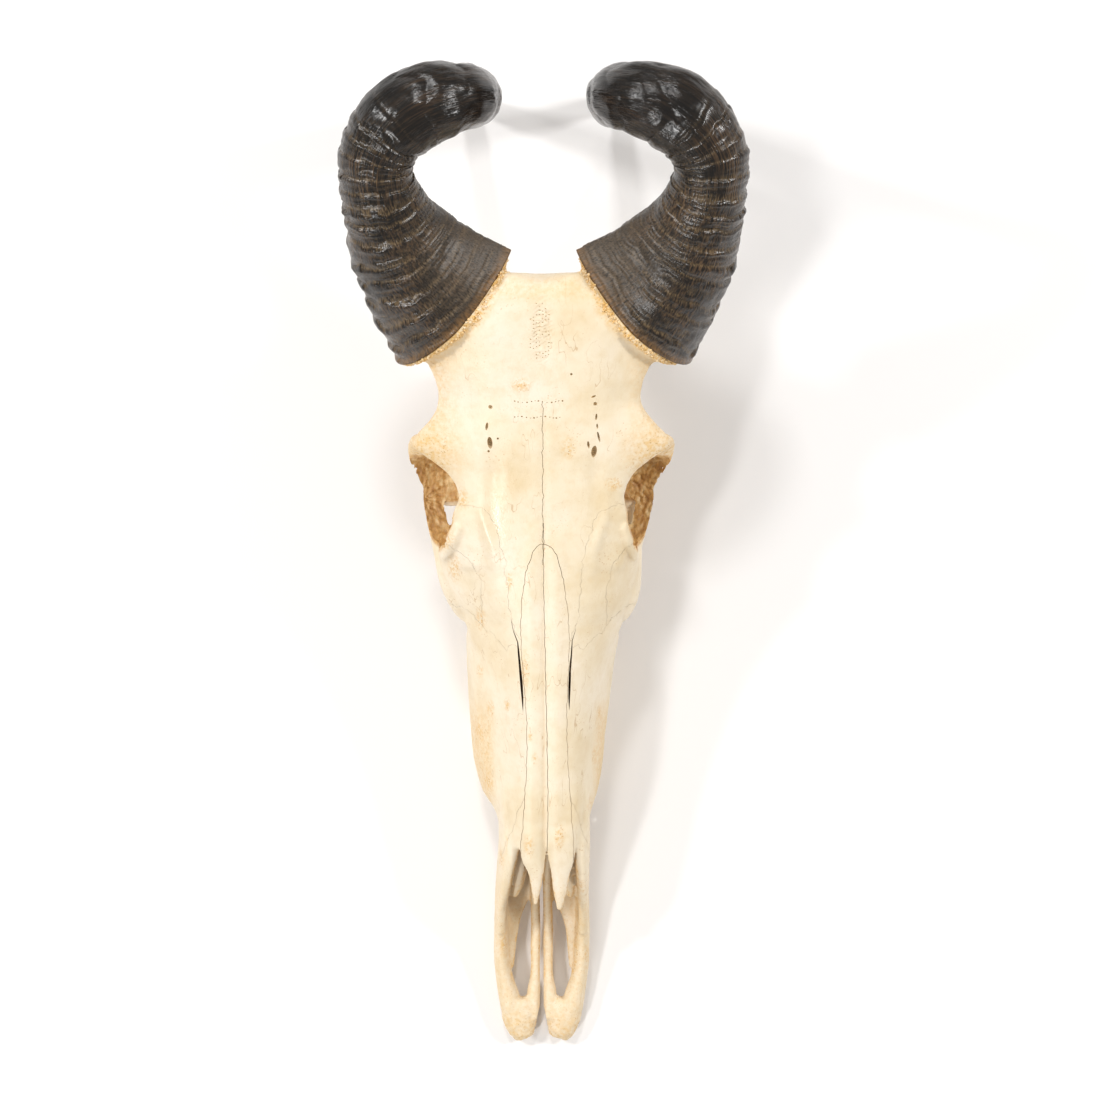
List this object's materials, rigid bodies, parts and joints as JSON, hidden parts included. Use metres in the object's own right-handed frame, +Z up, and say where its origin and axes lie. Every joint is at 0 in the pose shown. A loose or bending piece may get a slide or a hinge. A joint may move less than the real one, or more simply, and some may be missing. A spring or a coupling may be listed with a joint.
{
  "type": "hartebeest skull",
  "caption": "Skull of a hartebeest without its lower jaw, with ringed, hooked horns and cheek teeth, lying face up on its teeth, horn tips and premaxillae.",
  "frame": {"origin": "middle of the bounding box across and along the skull, on the floor it lies on", "axes": "+Y from the nose to the horns, +Z up out of the face, +X across the skull, to the right for someone looking down on the face with the horns away from them"},
  "size_m": [0.2232, 0.5847, 0.2508],
  "materials": {
    "bone": "dry bone, cream, matt with a few glossy places",
    "horn": "keratin, black-brown, ridged and polished"
  },
  "bodies": {
    "root": {"frontals": "bone", "braincase": "bone", "lacrimal_left": "bone", "lacrimal_right": "bone", "zygomatic_left": "bone", "zygomatic_right": "bone", "maxilla_left": "bone", "maxilla_right": "bone", "premaxilla_left": "bone", "premaxilla_right": "bone", "nasal_left": "bone", "nasal_right": "bone", "horn_left": "horn", "horn_right": "horn"}
  },
  "joints": []
}
